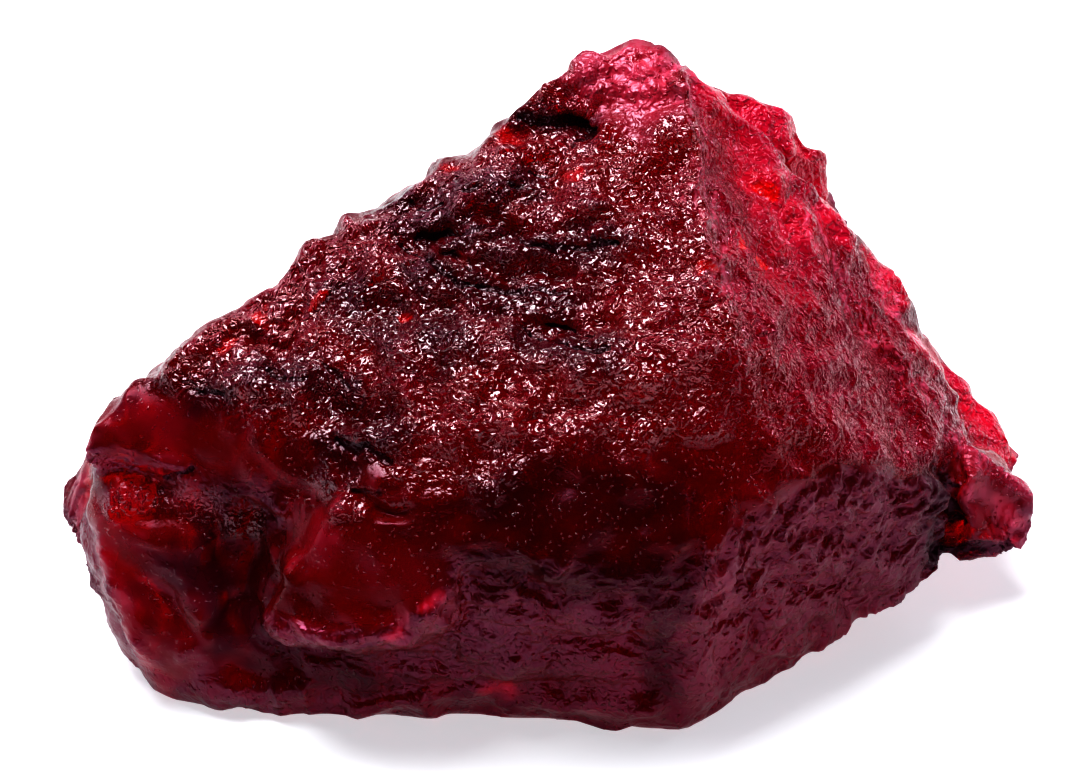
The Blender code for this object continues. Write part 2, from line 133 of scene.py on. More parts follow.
RIPPLES_LOW, RIPPLES_HIGH_GAIN = 0.5, 0.6
HIGH_RANGE = (3.2, 5.4)
RIGHT_HIGH_RANGE = (0.4, 3.4)
# Waver of the whole skin: a short and a long one.
SHORT_GRAIN, SHORT_WAVER = 1.6, 0.42
LONG_GRAIN, LONG_WAVER = 5.0, 0.5
WAVER_WAYS = (1, 3, 6)

# Edges of the marks: grain of their wobble, how far it moves them, and where they fade out, as
# shares of their half width.
WOBBLE_GRAIN = 0.9
LINE_WOBBLE, LINE_FADE = 0.6, (0.1, 1.3)
CRACK_WOBBLE, CRACK_FADE = 0.9, (0.4, 1.5)
WINDOW_FADE = (0.5, 1.3)

# Colours of the stone's inside, and the shade, glow and sheen painted on it.
DEEP_RED = (0.52, 0.004, 0.009, 1.0)
# The steep faces darker: painted shade.
STEEP_SHADED_RED = (0.27, 0.006, 0.024, 1.0)
# The right side darker: painted shade.
SIDE_SHADED_RED = (0.30, 0.004, 0.012, 1.0)
# Painted glow of the light that shines through the thin parts.
THIN_PAINTED_GLOW_RED = (1.0, 0.020, 0.065, 1.0)
# The calm parts darker: painted shade.
CALM_SHADED_RED = (0.21, 0.003, 0.006, 1.0)
# Random patches, and on the right side a painted purple sheen.
PATCH_AND_SHEEN_RED = (0.62, 0.030, 0.105, 1.0)
SILK_PINK = (0.80, 0.16, 0.28, 1.0)
# Frost, and in places a painted sheen where a face is lit.
HAZE_AND_SHEEN_PINK = (0.55, 0.08, 0.16, 1.0)
# Dark mottling, and painted shade in valleys, crevices and on the front band.
SHADE_PURPLE = (0.050, 0.004, 0.024, 1.0)
WINDOW_RED = (0.95, 0.008, 0.012, 1.0)
# Painted shade in the cracks.
CRACK_SHADE_BLACK = (0.010, 0.002, 0.005, 1.0)
# Colours of what the skin mirrors.
PLAIN_SHINE = (0.28, 0.11, 0.17, 1.0)
STEEP_SHINE = (0.85, 0.30, 0.54, 1.0)
SIDE_SHINE = (0.40, 0.17, 0.25, 1.0)
# Reflections dimmed in the shade marks: painted shade.
SHADE_SHINE = (0.11, 0.03, 0.06, 1.0)
TOP_SHINE = (1.0, 0.84, 0.92, 1.0)
HAZE_SHINE = (1.0, 0.52, 0.76, 1.0)
# Reflections dimmed in the calm parts: painted shade.
CALM_DIMMED_SHINE = (0.13, 0.04, 0.065, 1.0)
SPECK_SHINE = (1.0, 0.80, 0.86, 1.0)
# Reflections dimmed in the cracks: painted shade.
CRACK_SHADE_SHINE = (0.10, 0.08, 0.10, 1.0)
# What light loses on its way through the stone.
RUBY_IOR = 1.77
ABSORB_COLOR = (0.93, 0.10, 0.32, 1.0)
ABSORB_DENSITY = 650.0

# Grain, in millimetres, of the patterns in the material.
JAG_GRAIN = 0.32
PATCH_GRAIN = 2.6
STREAK_GRAIN, STREAK_STRETCH = 0.35, (1.0, 1.6, 4.0)
SPECK_GRAIN = 0.20
WORM_GRAIN = 0.48
WAVE_GRAIN, WAVE_STRETCH = 0.95, (1.7, 1.7, 1.0)
BUMP_HEIGHT = 0.36 * MM

# The studio.
FLOOR_HALF = 3.0
FLOOR_COLOR = (0.76, 0.79, 0.81, 1.0)
FLOOR_ROUGHNESS = 0.8
FLOOR_GLOW_COLOR = (0.93, 0.97, 1.0, 1.0)
FLOOR_GLOW = 0.38
BEHIND_RANGE = (-0.45, 0.15)
LOW_SKY_RANGE = (0.25, 0.62)
LILAC_RANGE = (0.04, 0.14)
HORIZON_GLOW = 0.9
ROOM_GLOW = 0.04
HORIZON_COLOR = (0.93, 0.96, 1.0, 1.0)
ROOM_COLOR = (0.95, 0.68, 0.88, 1.0)
LIGHT_AIM = (0.0, 0.0, 0.01)
# Soft lights: name, width and height, place, power and colour.
LIGHTS = (
    ("softbox", (0.36, 0.28), (-0.10, 0.12, 0.50), 3.2, (1.0, 1.0, 1.0)),
    ("side light", (0.09, 0.07), (0.40, 0.28, 0.19), 0.22, (1.0, 0.82, 0.94)),
)

# Cracks, dented and painted black as the shade in them: depth, half width, and the pixels that each
# runs through.
CRACKS = (
    (0.35, 0.42, ((520, 113), (538, 119), (560, 121), (582, 124), (597, 131))),
    (0.20, 0.30, ((575, 140), (592, 136))),
    (0.20, 0.20, ((507, 181), (520, 184))),
    (0.20, 0.18, ((528, 174), (545, 178), (560, 175))),
    (0.20, 0.20, ((466, 190), (480, 186))),
    (0.25, 0.26, ((423, 233), (440, 236), (455, 231), (470, 232), (484, 225), (502, 229),
                  (515, 236), (530, 246), (550, 252))),
    (0.25, 0.24, ((556, 249), (583, 245), (600, 241), (618, 243))),
    (0.22, 0.22, ((400, 243), (415, 250), (433, 258), (445, 272), (460, 281), (476, 284))),
    (0.25, 0.24, ((476, 284), (495, 289), (512, 293), (530, 290))),
    (0.22, 0.20, ((535, 283), (550, 287), (566, 288))),
    (0.20, 0.18, ((450, 252), (463, 254), (472, 268), (480, 274))),
    (0.18, 0.16, ((408, 203), (424, 206), (440, 200))),
    (0.20, 0.20, ((520, 331), (545, 338), (570, 345), (590, 352), (612, 352))),
    (0.20, 0.18, ((545, 322), (570, 328), (590, 338))),
    (0.20, 0.20, ((204, 398), (214, 395), (228, 399))),
    (0.20, 0.14, ((163, 477), (176, 474), (190, 473))),
    (0.20, 0.18, ((354, 488), (368, 493), (384, 493))),
    (0.25, 0.34, ((340, 446), (357, 452), (372, 447), (390, 455))),
    (0.20, 0.22, ((268, 372), (290, 380), (312, 384))),
    (0.20, 0.20, ((330, 365), (345, 372), (352, 385))),
    (0.45, 0.75, ((938, 468), (946, 492), (944, 515), (936, 548))),
    (0.30, 0.55, ((930, 560), (950, 552), (975, 548), (1000, 549))),
)
# Darker, more purple parts, partly dark mottling and partly painted shade in valleys, crevices and
# on the front band: strength, half width and the pixels that each runs through.
SHADES = (
    (1.0, 2.4, ((420, 225), (480, 240), (560, 250), (600, 245))),
    (1.0, 2.2, ((430, 270), (500, 300), (560, 300))),
    (1.0, 1.8, ((520, 335), (600, 350))),
    (1.0, 1.8, ((400, 200), (440, 205), (520, 182))),
    (1.0, 2.4, ((350, 300), (400, 330), (450, 340))),
    (1.0, 2.0, ((255, 375), (320, 385), (380, 430), (340, 450))),
    (1.0, 1.6, ((205, 398), (230, 400))),
    (1.0, 1.0, ((520, 115), (595, 130))),
    (1.0, 2.2, ((235, 500), (240, 560), (250, 610), (290, 665))),
    (1.0, 1.0, ((205, 515), (215, 560), (226, 610))),
    (1.0, 2.0, ((320, 660), (360, 670))),
    (1.0, 1.3, ((925, 480), (930, 540), (960, 555))),
    (1.0, 0.9, ((955, 500), (958, 540))),
    (1.0, 1.5, ((170, 560), (215, 580), (232, 640))),
    (0.9, 2.8, ((500, 500), (600, 508), (670, 508))),
    (1.0, 2.2, ((500, 568), (600, 570), (665, 578))),
    (0.9, 1.3, ((662, 575), (664, 640), (656, 690))),
    (0.6, 0.9, ((118, 404), (150, 392), (185, 385))),
)
# Clear red spots: half width and the pixel in its middle.
WINDOWS = (
    (0.85, (506, 137)), (0.55, (318, 305)), (0.70, (252, 322)), (0.60, (448, 172)),
    (0.50, (578, 178)), (0.45, (410, 318)), (0.50, (232, 352)), (0.45, (470, 262)),
    (0.50, (716, 268)), (0.40, (742, 248)), (0.50, (760, 262)), (0.45, (770, 190)),
)
# Silky pale streaks along the ridges: strength, half width and the pixels that each runs through.
SILK = (
    (1.0, 1.3, ((672, 62), (688, 100), (700, 150), (705, 195))),
    (1.0, 1.0, ((705, 195), (722, 250), (735, 300))),
    (1.0, 1.1, ((812, 225), (836, 270), (866, 320), (905, 372), (945, 430), (975, 462))),
    (1.0, 0.8, ((880, 280), (905, 318), (925, 355))),
    (0.6, 0.5, ((262, 620), (268, 634), (330, 640), (385, 636), (430, 604), (500, 566))),
    (0.5, 0.4, ((263, 600), (275, 560), (300, 505), (335, 470))),
    (1.0, 0.8, ((968, 492), (990, 505), (1015, 525))),
)
# Glittering patches below the brow: strength, half width and the pixels that each runs through.
GLITTER = (
    (1.0, 1.5, ((400, 470), (450, 470), (500, 462))),
    (1.0, 1.1, ((330, 478), (350, 500), (352, 512))),
    (1.0, 1.0, ((115, 500), (150, 490), (215, 508))),
    (1.0, 0.9, ((215, 505), (260, 525))),
    (1.0, 1.2, ((380, 430), (470, 432))),
    (0.9, 2.0, ((690, 200), (715, 270), (735, 330), (755, 380))),
    (0.8, 1.4, ((745, 390), (775, 415), (810, 436))),
    (0.8, 1.0, ((560, 420), (640, 425), (720, 430))),
)
# Spots of painted glow, standing in for light shining through thin or clear parts: strength, half
# width and the pixels that each runs through.
PAINTED_GLOW = (
    (0.8, 2.6, ((748, 135), (775, 180), (792, 235))),
    (0.4, 1.6, ((745, 250), (800, 300))),
    (1.0, 2.6, ((742, 120), (790, 140), (815, 190), (830, 215))),
    (1.0, 1.8, ((712, 92), (745, 110), (790, 125))),
    (1.0, 1.6, ((880, 262), (893, 290))),
    (1.0, 2.0, ((925, 350), (960, 385), (990, 420), (1005, 455))),
    (1.0, 0.8, ((1000, 500), (1015, 515))),
    (0.45, 1.0, ((100, 560), (120, 600), (140, 650), (160, 682))),
    (0.6, 1.8, ((610, 60), (650, 66), (645, 85))),
    (0.30, 0.8, ((268, 610), (275, 630), (330, 632), (400, 620))),
    (1.0, 0.35, ((385, 638), (398, 634))),
    (1.0, 0.4, ((425, 608), (436, 598))),
    (1.0, 0.6, ((495, 690), (512, 688))),
)
# Hazy, more purple parts, partly frost and partly a painted sheen where a face is lit: strength,
# half width and the pixels that each runs through.
HAZE = (
    (0.8, 1.8, ((970, 495), (1000, 500), (1015, 530))),
    (0.8, 1.2, ((960, 470), (1000, 475))),
    (1.0, 1.0, ((80, 480), (78, 510))),
    (0.6, 0.9, ((110, 492), (160, 486), (225, 505))),
    (1.0, 2.6, ((600, 65), (650, 70), (640, 100))),
    (1.0, 1.5, ((718, 570), (716, 640), (708, 690))),
    (0.4, 2.4, ((760, 530), (820, 520), (880, 520))),
)
# Smooth parts, given a darker colour and a dimmer shine as painted shade: strength, half width and
# the pixels that each runs through.
CALM = (
    (0.5, 1.5, ((92, 535), (103, 590), (125, 650), (160, 683))),
    (0.8, 2.2, ((310, 540), (350, 575), (400, 590))),
    (1.0, 2.2, ((125, 425), (170, 435), (225, 450))),
    (1.0, 2.4, ((115, 545), (145, 610), (170, 660))),
    (1.0, 2.2, ((175, 550), (215, 590), (228, 650))),
)


def make_camera():
    """Place the camera at the photograph's viewing angle."""
    back = Vector((0.0, -math.cos(CAMERA_ELEVATION), math.sin(CAMERA_ELEVATION)))
    data = bpy.data.cameras.new("camera")
    data.sensor_width = SENSOR_WIDTH_MM
    data.lens = PX_PER_MM * CAMERA_DISTANCE / MM * SENSOR_WIDTH_MM / PHOTO_PX[0]
    data.clip_start = CLIP_START
    data.clip_end = CLIP_END
    camera = bpy.data.objects.new("camera", data)
    camera.location = CAMERA_TARGET + back * CAMERA_DISTANCE
    camera.rotation_euler = (math.pi / 2.0 - CAMERA_ELEVATION, 0.0, 0.0)
    bpy.context.scene.collection.objects.link(camera)
    bpy.context.scene.camera = camera
    return camera


def sight(camera, pixel):
    """Return the direction in which the camera sees a pixel of the photograph."""
    focal = PX_PER_MM * CAMERA_DISTANCE / MM
    local = Vector((pixel[0] - PHOTO_PX[0] / 2, PHOTO_PX[1] / 2 - pixel[1], -focal))
    return (camera.rotation_euler.to_matrix() @ local).normalized()


def mesh_points(mesh):
    """Return the mesh's points as an array."""
    flat = np.empty(len(mesh.vertices) * 3, dtype=np.float32)
    mesh.vertices.foreach_get("co", flat)
    return flat.reshape(-1, 3).astype(float)


def mesh_normals(mesh):
    """Return the outward direction at each point of the mesh."""
    flat = np.empty(len(mesh.vertices) * 3, dtype=np.float32)
    mesh.vertex_normals.foreach_get("vector", flat)
    return flat.reshape(-1, 3).astype(float)


def mesh_edges(mesh):
    """Return the two ends of each edge of the mesh."""
    flat = np.empty(len(mesh.edges) * 2, dtype=np.int32)
    mesh.edges.foreach_get("vertices", flat)
    return flat.reshape(-1, 2)


def mesh_tree(mesh):
    """Return a tree that rays can be cast on."""
    return BVHTree.FromPolygons(
        [vertex.co for vertex in mesh.vertices],
        [tuple(face.vertices) for face in mesh.polygons],
    )


def put_points(mesh, points):
    """Move the mesh's points to the places in the array."""
    mesh.vertices.foreach_set("co", points.astype(np.float32).ravel())
    mesh.update()


def put_value(mesh, name, values):
    """Store one number at each point, for the material to read."""
    layer = mesh.attributes.new(name, "FLOAT", "POINT")
    layer.data.foreach_set("value", values.astype(np.float32))


def apply_modifiers(piece):
    """Make what the modifiers show the piece's own mesh."""
    graph = bpy.context.evaluated_depsgraph_get()
    shown = bpy.data.meshes.new_from_object(piece.evaluated_get(graph))
    piece.modifiers.clear()
    piece.data = shown


def smooth_step(value, low, high):
    """Rise smoothly from 0 at low to 1 at high, for arrays."""
    share = np.clip((value - low) / (high - low), 0.0, 1.0)
    return share * share * (3.0 - 2.0 * share)


def straight_step(value, low, high):
    """Rise evenly from 0 at low to 1 at high, for single numbers."""
    return min(max((value - low) / (high - low), 0.0), 1.0)


def spread(values, edges, rounds):
    """Average values with those of the neighbouring points, a number of times."""
    count = np.bincount(edges.ravel(), minlength=len(values))
    for _ in range(rounds):
        for axis in range(values.shape[1]):
            column = values[:, axis]
            total = np.bincount(edges[:, 0], column[edges[:, 1]], len(values))
            total += np.bincount(edges[:, 1], column[edges[:, 0]], len(values))
            values[:, axis] = OWN_SHARE * column + (1.0 - OWN_SHARE) * total / count
    return values


def fine_copy():
    """Return a finely meshed, softened copy of the CAD stone."""
    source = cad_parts[NODE]
    piece = bpy.data.objects.new("raw_ruby", source.data.copy())
    bpy.context.scene.collection.objects.link(piece)
    remesh = piece.modifiers.new("remesh", "REMESH")
    remesh.mode = "VOXEL"
    remesh.voxel_size = SKIN_VOXEL
    smooth = piece.modifiers.new("smooth", "SMOOTH")
    smooth.factor = SKIN_SMOOTHING
    smooth.iterations = SKIN_ROUNDS
    apply_modifiers(piece)
    return piece


def distance_to_line(points, line):
    """Return how far each point is from the nearest place on a line of straight runs."""
    nearest = np.full(len(points), np.inf)
    for start, end in zip(line, line[1:]):
        run = end - start
        along = np.clip((points - start) @ run / max(run @ run, 1e-9), 0.0, 1.0)
        gap = np.linalg.norm(points - start - along[:, None] * run, axis=1)
        nearest = np.minimum(nearest, gap)
    return nearest


def marks(camera, piece, points_mm):
    """Return how much each point of the skin belongs to each kind of mark.

    The marks are crack, the depth of its dent in millimetres, window, silk, shade, glitter, glow,
    haze and calm. Each lies where the camera sees its pixels on the stone.
    """
    tree = mesh_tree(piece.data)

    def on_stone(pixels):
        hits = [tree.ray_cast(camera.location, sight(camera, pixel))[0] for pixel in pixels]
        return [np.array(hit) / MM for hit in hits if hit]

    wobble = np.array([
        noise.noise(Vector(point) / WOBBLE_GRAIN + SEED) for point in points_mm
    ])

    def near_lines(lines):
        share = np.zeros(len(points_mm))
        for strength, half_width, pixels in lines:
            gap = distance_to_line(points_mm, on_stone(pixels)) / half_width
            here = 1.0 - smooth_step(gap + LINE_WOBBLE * wobble, *LINE_FADE)
            share = np.maximum(share, strength * here)
        return share

    crack = np.zeros(len(points_mm))
    dent = np.zeros(len(points_mm))
    for depth, half_width, pixels in CRACKS:
        line = on_stone(pixels)
        gap = distance_to_line(points_mm, line) / (half_width * (1.0 + CRACK_WOBBLE * wobble))
        share = 1.0 - smooth_step(gap, *CRACK_FADE)
        crack = np.maximum(crack, share)
        dent = np.maximum(dent, share * depth)
    window = np.zeros(len(points_mm))
    for half_width, pixel in WINDOWS:
        for spot in on_stone((pixel,)):
            gap = np.linalg.norm(points_mm - spot, axis=1) / half_width
            window = np.maximum(window, 1.0 - smooth_step(gap + wobble, *WINDOW_FADE))
    return crack, dent, window, *(
        near_lines(lines) for lines in (SILK, SHADES, GLITTER, PAINTED_GLOW, HAZE, CALM)
    )


def thickness(mesh, points_mm, normals):
    """Return how thick the stone is under each point of its skin, in millimetres."""
    tree = mesh_tree(mesh)
    depth = np.zeros(len(points_mm))
    for tilt in TILTS:
        for index, (point, normal) in enumerate(zip(points_mm, normals)):
            inward = Vector(tilt) - Vector(normal)
            inward.normalize()
            start = Vector(point) * MM + inward * THICKNESS_START
            reach = tree.ray_cast(start, inward)[3]
            depth[index] += min((reach or 0.0) / MM, THICKNESS_LIMIT) / len(TILTS)
    return depth


def ridges(place, limit):
    """Return a height that is greatest on thin winding lines, at most the limit."""
    return limit - min(abs(noise.noise(place)), limit)


def relief(place, top, side, steep, right, haze):
    """Return the height of the relief, in millimetres, at a place in millimetres.

    The other numbers say how much the skin there belongs to the top, the side, the steep faces
    and the right front, where the ripples climb to the right, and how hazy it is.
    """
    bend = Vector([noise.noise(place / BEND_GRAIN + way * SEED) for way in BEND_WAYS])
    warped = place + BEND * bend
    crags = CRAG_HEIGHT * min(abs(noise.noise(warped / CRAG_GRAIN + SEED)), LUMP_LIMIT)
    lumps = LUMP_HEIGHT * min(abs(noise.noise(warped / LUMP_GRAIN)), LUMP_LIMIT)
    climb = warped.z - CLIMB * right * (ALONG_X * warped.x + ALONG_Y * warped.y)
    ripple = Vector((
        warped.x / RIPPLE_GRAIN, warped.y / RIPPLE_GRAIN,
        climb / (RIPPLE_GAP + RIPPLE_GAP_GAIN * right),
    ))
    ripples = RIPPLE_HEIGHT * ridges(ripple + SEED, RIPPLE_LIMIT)
    ripples += FINE_RIPPLE_HEIGHT * ridges(ripple * FINE_RIPPLES, RIPPLE_LIMIT)
    rippled = RIPPLES_LOW + RIPPLES_HIGH_GAIN * straight_step(place.z, *HIGH_RANGE)
    rippled += right * straight_step(place.z, *RIGHT_HIGH_RANGE)
    lumpy = (EVERYWHERE + top + LUMPS_ON_SIDE * side + LUMPS_ON_STEEP * steep
             + LUMPS_IN_HAZE * haze)
    return crags * (EVERYWHERE + top) + lumps * lumpy + ripples * steep * rippled


def waver(place):
    """Return a small shift, in millimetres, that keeps the stone's edges from running straight."""
    return [
        SHORT_WAVER * noise.noise(place / SHORT_GRAIN - way * SEED)
        + LONG_WAVER * noise.noise(place / LONG_GRAIN + way * SEED)
        for way in WAVER_WAYS
    ]


def dress_skin(camera, piece):
    """Raise the relief and the marks on the skin, and leave the face that it rests on flat."""
    mesh = piece.data
    points = mesh_points(mesh) / MM
    normals = mesh_normals(mesh)
    edges = mesh_edges(mesh)
    broad = spread(normals.copy(), edges, BROAD_ROUNDS)
    broad /= np.linalg.norm(broad, axis=1)[:, None]
    middle_x, middle_y, bow = BROW
    behind_brow = points[:, 1] - middle_y - bow * (points[:, 0] - middle_x) ** 2
    crack, dent, window, silk, shade, glitter, painted_glow, haze, calm = marks(camera, piece, points)
    calm *= 1.0 - glitter

    # Which face of the stone each point belongs to.
    top = smooth_step(broad @ TOP_FACING, *TOP_RANGE)
    top *= smooth_step(behind_brow, *BEHIND_BROW_RANGE)
    top = np.maximum(top, GLITTER_AS_TOP * glitter)
    side = smooth_step(broad @ SIDE_FACING, *SIDE_RANGE) * (1.0 - top)
    steep = (1.0 - smooth_step(broad[:, 2], *LEVEL_RANGE)) * (1.0 - top)
    right = smooth_step(broad[:, 0], *RIGHT_RANGE)
    bulge = ((points - spread(points.copy(), edges, BULGE_ROUNDS)) * normals).sum(axis=1)
    rim = smooth_step(bulge, *RIM_RANGE)
    # The thin parts and the glow spots get a bright colour: a painted glow of the light that shines
    # through them.
    thin = 1.0 - smooth_step(thickness(mesh, points, normals), *THICK_RANGE)
    thin = np.maximum(spread(thin[:, None], edges, THIN_ROUNDS)[:, 0], painted_glow) * (1.0 - shade)

    # The relief, which fades out towards the face that the stone rests on.
    front = smooth_step(-broad[:, 1], *FRONT_RANGE)
    rippled = steep * (RIPPLES_AT_BACK + (1.0 - RIPPLES_AT_BACK) * front)
    craggy = np.maximum(top, CRAGS_AT_BACK * smooth_step(broad[:, 1], *BACK_RANGE))
    height = np.array([
        relief(Vector(point), *shares)
        for point, *shares in zip(points, craggy, side, rippled, right, haze)
    ])
    height *= (1.0 - FLAT_IN_WINDOWS * window) * (1.0 - FLAT_WHERE_CALM * calm)
    off_base = smooth_step(points[:, 2], *OFF_BASE_RANGE)
    smoothed = spread(points.copy(), edges, CALM_ROUNDS)
    points += (calm * off_base)[:, None] * (smoothed - points)
    points += ((height - dent) * off_base)[:, None] * normals
    shift = np.array([waver(Vector(point)) for point in points])
    points += (off_base * (1.0 - STILL_WHERE_CALM * calm))[:, None] * shift
    low = np.array(CAD_BOX[0]) / MM
    high = np.array(CAD_BOX[1]) / MM
    put_points(mesh, np.clip(points, low, high) * MM)

    for name, values in (
        ("top", top), ("side", side), ("steep", steep), ("rim", rim), ("thin", thin),
        ("crack", crack), ("window", window), ("silk", silk), ("shade", shade), ("calm", calm),
        ("haze", np.maximum(haze, RIGHT_HAZE * right * steep)),
    ):
        put_value(mesh, name, values)


def thin_out(piece):
    """Bring the skin under its number of triangles."""
    triangles = sum(len(face.vertices) - 2 for face in piece.data.polygons)
    if triangles > SKIN_TRIANGLES:
        thin = piece.modifiers.new("thin_out", "DECIMATE")
        thin.ratio = SKIN_TRIANGLES / triangles
        apply_modifiers(piece)
    piece.data.shade_smooth()


class Nodes:
    """Short ways to add and join shader nodes."""

    def __init__(self, tree):
        self.tree = tree

    def add(self, kind, **settings):
        """Add a node."""
        node = self.tree.nodes.new(kind)
        for name, value in settings.items():
            setattr(node, name, value)
        return node

    def feed(self, socket, value):
        """Give a socket another socket's value, or a plain one."""
        if isinstance(value, bpy.types.NodeSocket):
            self.tree.links.new(value, socket)
        else:
            socket.default_value = value

    def math(self, operation, first, second=0.0, clamp=False):
        """Return the result of a sum, a product and so on."""
        node = self.add("ShaderNodeMath", operation=operation, use_clamp=clamp)
        self.feed(node.inputs[0], first)
        self.feed(node.inputs[1], second)
        return node.outputs[0]

    def value(self, name):
        """Return a number that is stored at the points of the skin."""
        return self.add("ShaderNodeAttribute", attribute_name=name).outputs["Fac"]

    def ramp(self, value, low, high, out_low=0.0, out_high=1.0):
        """Go smoothly from one number at low to another at high."""
        node = self.add("ShaderNodeMapRange", interpolation_type="SMOOTHSTEP")
        for name, number in (
            ("From Min", low), ("From Max", high), ("To Min", out_low), ("To Max", out_high),
        ):
            self.feed(node.inputs[name], number)
        self.feed(node.inputs["Value"], value)
        return node.outputs["Result"]

    def noise(self, place, grain_mm, detail, distortion=0.0, stretch=(1.0, 1.0, 1.0),
              kind="FBM"):
        """Return a noise with a grain of some millimetres."""
        mapping = self.add("ShaderNodeMapping")
        self.feed(mapping.inputs["Vector"], place)
        mapping.inputs["Scale"].default_value = tuple(1.0 / (grain_mm * MM * s) for s in stretch)
        node = self.add("ShaderNodeTexNoise", noise_type=kind)
        node.inputs["Scale"].default_value = 1.0
        node.inputs["Detail"].default_value = detail
        node.inputs["Distortion"].default_value = distortion
        self.feed(node.inputs["Vector"], mapping.outputs["Vector"])
        return node.outputs["Fac"]

    def mix(self, share, first, second):
        """Mix two colours."""
        node = self.add("ShaderNodeMix", data_type="RGBA")
        self.feed(node.inputs["Factor"], share)
        self.feed(node.inputs["A"], first)
        self.feed(node.inputs["B"], second)
        return node.outputs["Result"]

    def layers(self, color, rows):
        """Lay colours over one another, each as strong as its row says where its share is 1."""
        for share, strength, over in rows:
            if strength < 1.0:
                share = self.math("MULTIPLY", share, strength)
            color = self.mix(share, color, over)
        return color

    def total(self, start, rows):
        """Add the shares to a number, each times its gain."""
        for share, gain in rows:
            start = self.math("ADD", start, self.math("MULTIPLY", share, gain))
        return start


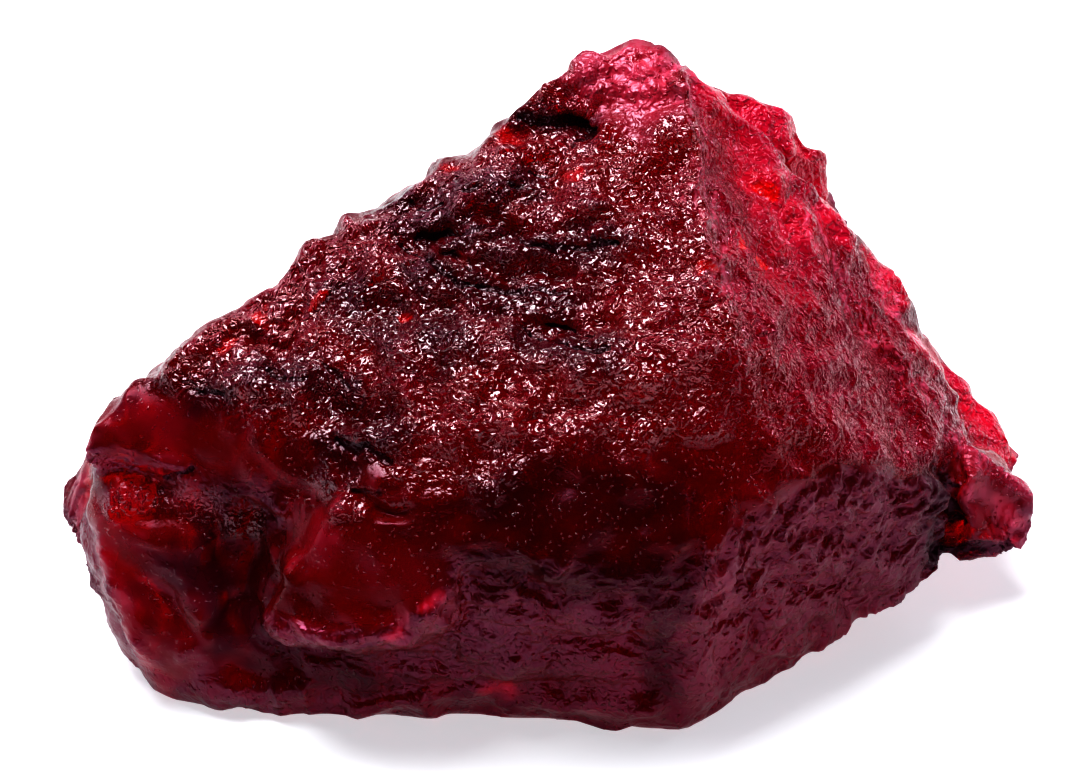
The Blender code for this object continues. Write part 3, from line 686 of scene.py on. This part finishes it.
def ruby_material():
    """Deep red see-through stone under a pitted, partly frosted skin."""
    material = bpy.data.materials.new("ruby")
    material.use_nodes = True
    tree = material.node_tree
    kit = Nodes(tree)
    shader = tree.nodes["Principled BSDF"]
    output = tree.nodes["Material Output"]
    place = kit.add("ShaderNodeTexCoord").outputs["Object"]
    top, side, steep, rim, thin, crack, window, silk, shade, calm, haze = (
        kit.value(name) for name in (
            "top", "side", "steep", "rim", "thin", "crack", "window", "silk", "shade", "calm",
            "haze",
        )
    )
    jagged = kit.math("SUBTRACT", kit.noise(place, JAG_GRAIN, 2.0), 0.5)
    # Black in the cracks, with ragged edges: painted shade.
    crack_shade = kit.ramp(kit.math("ADD", crack, kit.math("MULTIPLY", jagged, 1.6)), 0.44, 0.74)
    crack_shade = kit.math("MULTIPLY", crack_shade, 0.85)
    window = kit.ramp(kit.math("ADD", window, jagged), 0.25, 0.85)
    frosty = kit.math("MULTIPLY", haze, top)

    # How frosted the skin is: a little in patches, most on the ridges and the worn edges.
    patches = kit.ramp(kit.noise(place, PATCH_GRAIN, 2.0), 0.38, 0.62)
    streaks = kit.ramp(kit.noise(place, STREAK_GRAIN, 1.0, 0.0, STREAK_STRETCH), 0.42, 0.66)
    worn = kit.math("MULTIPLY", rim, kit.math("MULTIPLY", patches, 0.6))
    silky = kit.math("MAXIMUM", kit.math("MULTIPLY", silk, streaks), worn)

    # Colour: deep in the thick parts, glowing in the thin ones, purple where it is hazy. The darker
    # steep faces, right side, calm parts, shade marks and cracks are painted shade, the glow of the
    # thin parts is painted, and the purple of the right side and of some hazy parts is a painted
    # sheen.
    # Random patches of tone, and on the right side a painted purple sheen.
    patches_and_side_sheen = kit.math("ADD", kit.math("MULTIPLY", patches, 0.25), kit.math("MULTIPLY", side, 0.30))
    kit.feed(shader.inputs["Base Color"], kit.layers(DEEP_RED, (
        (steep, 1.0, STEEP_SHADED_RED),
        (side, 0.5, SIDE_SHADED_RED),
        (thin, 1.0, THIN_PAINTED_GLOW_RED),
        (calm, 0.85, CALM_SHADED_RED),
        (patches_and_side_sheen, 1.0, PATCH_AND_SHEEN_RED),
        (silky, 0.6, SILK_PINK),
        (haze, 0.5, HAZE_AND_SHEEN_PINK),
        (shade, 0.75, SHADE_PURPLE),
        (window, 1.0, WINDOW_RED),
        (crack_shade, 1.0, CRACK_SHADE_BLACK),
    )))

    # How much light goes in, instead of being thrown back by the frosted skin; the calm and thin
    # parts take in less, so that their painted shade and painted glow show.
    clear = kit.total(0.90, (
        (silky, -0.35), (top, -0.12), (side, -0.22), (thin, -0.28), (window, -0.10),
        (calm, -0.42), (haze, -0.15), (frosty, -0.12),
    ))
    clear = kit.math("MULTIPLY", clear, kit.math("SUBTRACT", 1.0, crack_shade), True)
    kit.feed(shader.inputs["Transmission Weight"], clear)
    kit.feed(shader.inputs["Roughness"], kit.total(0.26, (
        (top, -0.17), (side, -0.15), (steep, 0.06), (silky, 0.2), (haze, 0.10), (frosty, 0.16),
    )))
    shader.inputs["IOR"].default_value = RUBY_IOR

    # What the skin mirrors: much on the top and the steep faces, little in the smooth parts, and
    # dimmed as painted shade in the shade marks, the calm parts and the cracks.
    sparse = kit.ramp(kit.noise(place, SPECK_GRAIN, 0.0), 0.60, 0.88)
    specks = kit.math("MULTIPLY", kit.ramp(sparse, 0.05, 0.5, 0.0, 0.85), patches)
    kit.feed(shader.inputs["Specular Tint"], kit.layers(PLAIN_SHINE, (
        (steep, 1.0, STEEP_SHINE),
        (side, 1.0, SIDE_SHINE),
        (shade, 0.7, SHADE_SHINE),
        (top, 1.0, TOP_SHINE),
        (haze, 0.8, HAZE_SHINE),
        (calm, 0.8, CALM_DIMMED_SHINE),
        (specks, 1.0, SPECK_SHINE),
        (crack_shade, 0.4, CRACK_SHADE_SHINE),
    )))

    # Fine relief, too small for the mesh: small bumps on the top and the side, wavy lines on the
    # steep faces, and sparse grains elsewhere.
    worms = kit.noise(place, WORM_GRAIN, 1.0, 1.0)
    waves = kit.noise(place, WAVE_GRAIN, 2.0, 0.0, WAVE_STRETCH, "RIDGED_MULTIFRACTAL")
    grains = kit.math("POWER", sparse, 2.0)
    pitted = kit.total(0.06, (
        (top, 0.92), (side, 0.65), (steep, 0.26), (haze, -0.12), (frosty, -0.35),
    ))
    height = kit.math("ADD", kit.math("MULTIPLY", worms, pitted),
                      kit.math("MULTIPLY", grains, 0.28))
    height = kit.math("ADD", height,
                      kit.math("MULTIPLY", waves, kit.math("MULTIPLY", steep, 0.30)))
    not_calm = kit.math("SUBTRACT", 1.0, kit.math("MULTIPLY", calm, 0.85))
    bump = kit.add("ShaderNodeBump")
    bump.inputs["Strength"].default_value = 1.0
    bump.inputs["Distance"].default_value = BUMP_HEIGHT
    kit.feed(bump.inputs["Height"], kit.math("MULTIPLY", height, not_calm))
    kit.feed(shader.inputs["Normal"], bump.outputs["Normal"])

    absorb = kit.add("ShaderNodeVolumeAbsorption")
    absorb.inputs["Color"].default_value = ABSORB_COLOR
    absorb.inputs["Density"].default_value = ABSORB_DENSITY
    kit.feed(output.inputs["Volume"], absorb.outputs["Volume"])
    return material


def make_floor():
    """Lay a plain pale floor."""
    corners = [
        (FLOOR_HALF * x, FLOOR_HALF * y, 0.0) for x, y in ((-1, -1), (1, -1), (1, 1), (-1, 1))
    ]
    mesh = bpy.data.meshes.new("floor")
    mesh.from_pydata(corners, [], [(0, 1, 2, 3)])
    floor = bpy.data.objects.new("floor", mesh)
    bpy.context.scene.collection.objects.link(floor)
    material = bpy.data.materials.new("floor")
    material.use_nodes = True
    shader = material.node_tree.nodes["Principled BSDF"]
    shader.inputs["Base Color"].default_value = FLOOR_COLOR
    shader.inputs["Roughness"].default_value = FLOOR_ROUGHNESS
    shader.inputs["Emission Color"].default_value = FLOOR_GLOW_COLOR
    shader.inputs["Emission Strength"].default_value = FLOOR_GLOW
    mesh.materials.append(material)


def soft_light(name, size, place, power, color):
    """Add a soft rectangular light, which the camera doesn't see."""
    data = bpy.data.lights.new(name, "AREA")
    data.shape = "RECTANGLE"
    data.size, data.size_y = size
    data.energy = power
    data.color = color
    light = bpy.data.objects.new(name, data)
    light.location = place
    aim = Vector(place) - Vector(LIGHT_AIM)
    light.rotation_euler = aim.to_track_quat("Z", "Y").to_euler()
    light.visible_camera = False
    bpy.context.scene.collection.objects.link(light)


def make_world():
    """Make a room that is pale at the back near the horizon, and dim in front and above."""
    world = bpy.data.worlds.new("studio")
    world.use_nodes = True
    kit = Nodes(world.node_tree)
    background = world.node_tree.nodes["Background"]
    direction = kit.add("ShaderNodeSeparateXYZ")
    kit.feed(direction.inputs["Vector"], kit.add("ShaderNodeTexCoord").outputs["Generated"])
    behind = kit.ramp(direction.outputs["Y"], *BEHIND_RANGE)
    low = kit.ramp(direction.outputs["Z"], *LOW_SKY_RANGE, 1.0, 0.0)
    pale = kit.math("MULTIPLY", kit.math("MULTIPLY", behind, low), HORIZON_GLOW)
    kit.feed(background.inputs["Strength"], kit.math("ADD", pale, ROOM_GLOW))
    lilac = kit.ramp(direction.outputs["Z"], *LILAC_RANGE)
    kit.feed(background.inputs["Color"], kit.mix(lilac, HORIZON_COLOR, ROOM_COLOR))
    bpy.context.scene.world = world


def main():
    """Build the scene."""
    camera = make_camera()
    piece = fine_copy()
    dress_skin(camera, piece)
    thin_out(piece)
    piece.data.materials.clear()
    piece.data.materials.append(ruby_material())
    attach(piece, "root")
    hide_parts(NODE)
    make_floor()
    make_world()
    for light in LIGHTS:
        soft_light(*light)
    scene = bpy.context.scene
    scene.cycles.max_bounces = 6
    scene.cycles.transmission_bounces = 5
    scene.cycles.diffuse_bounces = 2
    scene.cycles.glossy_bounces = 3
    scene.view_settings.view_transform = "Standard"
    scene.view_settings.look = "Very High Contrast"


main()
